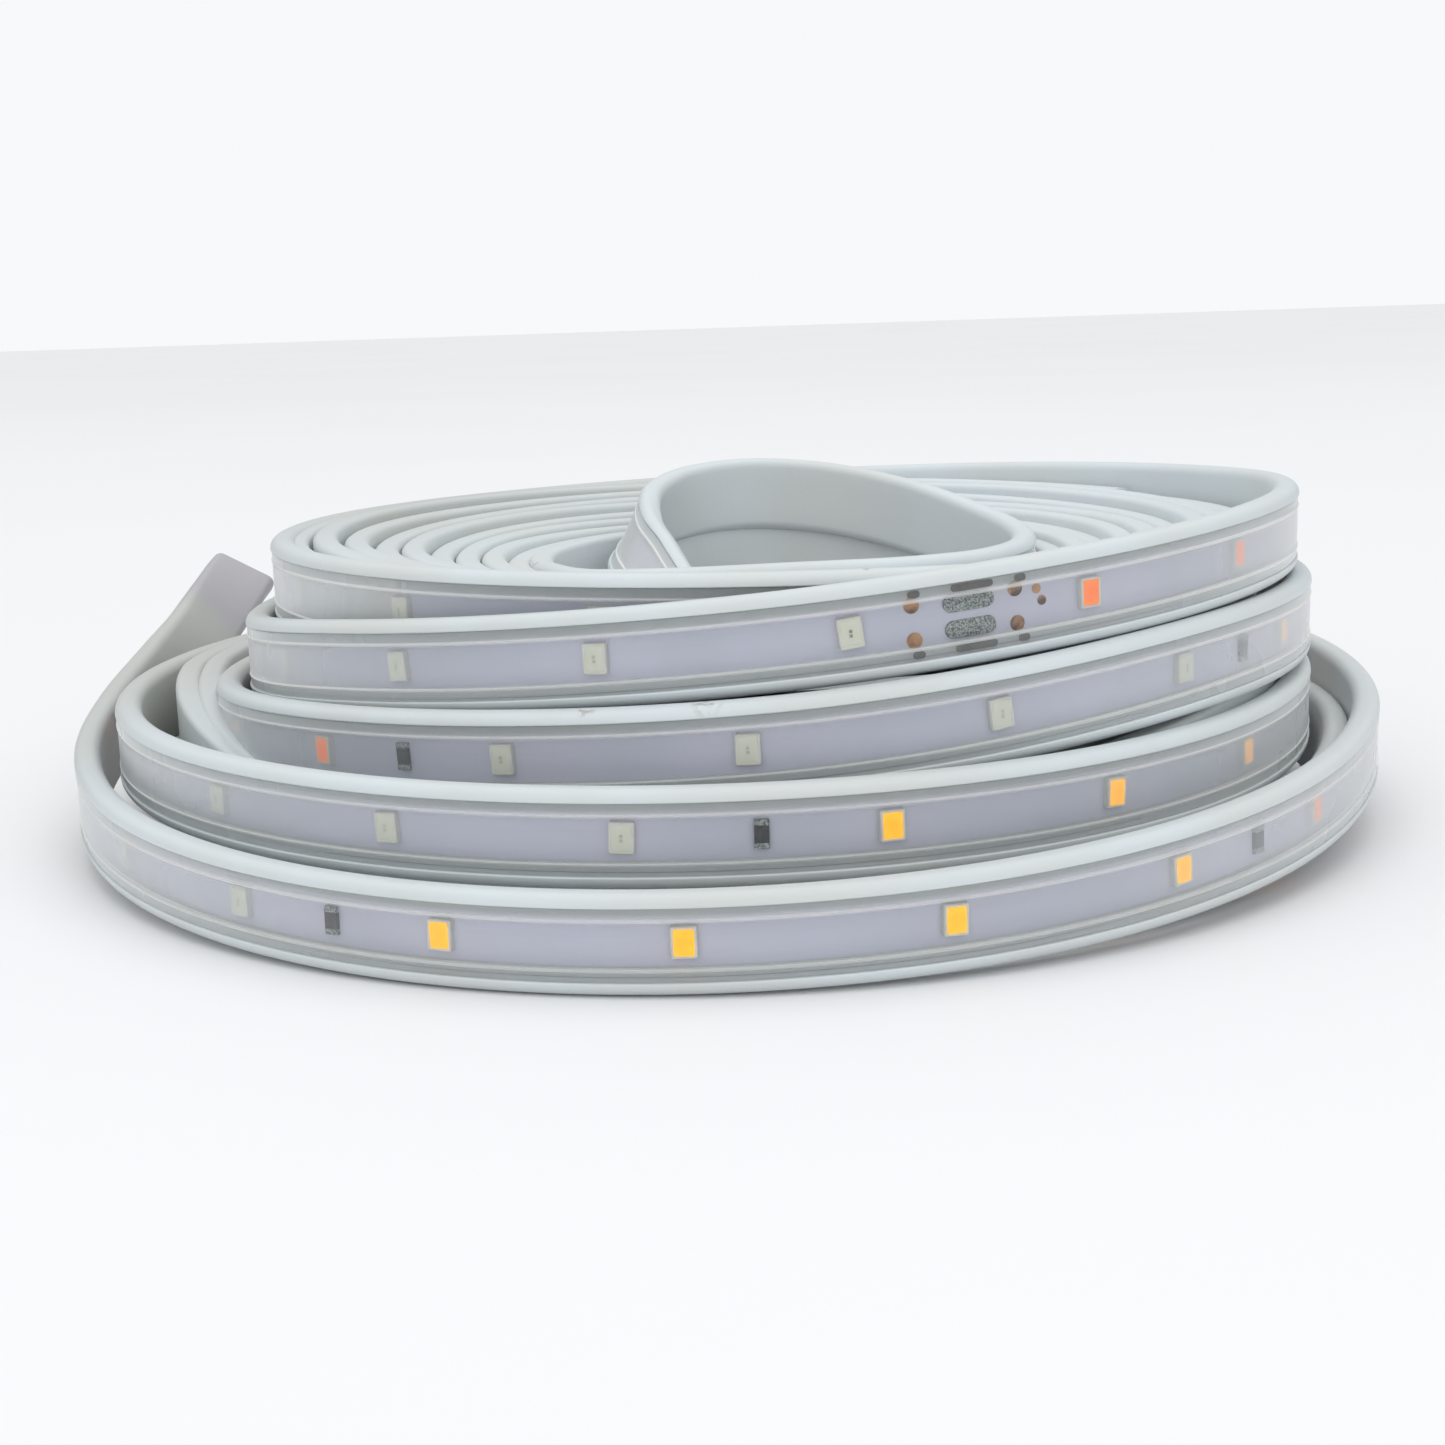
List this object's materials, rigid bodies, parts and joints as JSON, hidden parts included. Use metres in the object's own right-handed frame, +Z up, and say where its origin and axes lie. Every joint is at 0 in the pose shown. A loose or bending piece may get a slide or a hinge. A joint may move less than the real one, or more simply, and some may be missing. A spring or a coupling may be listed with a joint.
{
  "type": "coil of led rope light",
  "caption": "Flat LED rope light in a soft white sleeve with a clear front, wound into a loose stepped coil with both cut ends free.",
  "frame": {"origin": "middle of the coil's box, on the floor that it lies on", "axes": "+Z up through the coil's bore; the strip's lamps face outwards; +Y away from the camera of the picture"},
  "size_m": [0.1806, 0.1762, 0.0459],
  "materials": {
    "white_sleeve": "satin white soft sleeve, bluish on its rims and grey-green on its back",
    "clear_front": "clear soft plastic, slightly milky, with a soft gloss",
    "circuit_tape": "white-masked flexible circuit with amber, orange and cream lamps"
  },
  "bodies": {
    "root": {"white_channel": "white_sleeve", "white_channel_inner": "white_sleeve", "clear_window": "clear_front", "clear_window_inner": "clear_front", "circuit_tape": "circuit_tape", "circuit_tape_inner": "circuit_tape", "wound_core": "white_sleeve"}
  },
  "joints": []
}
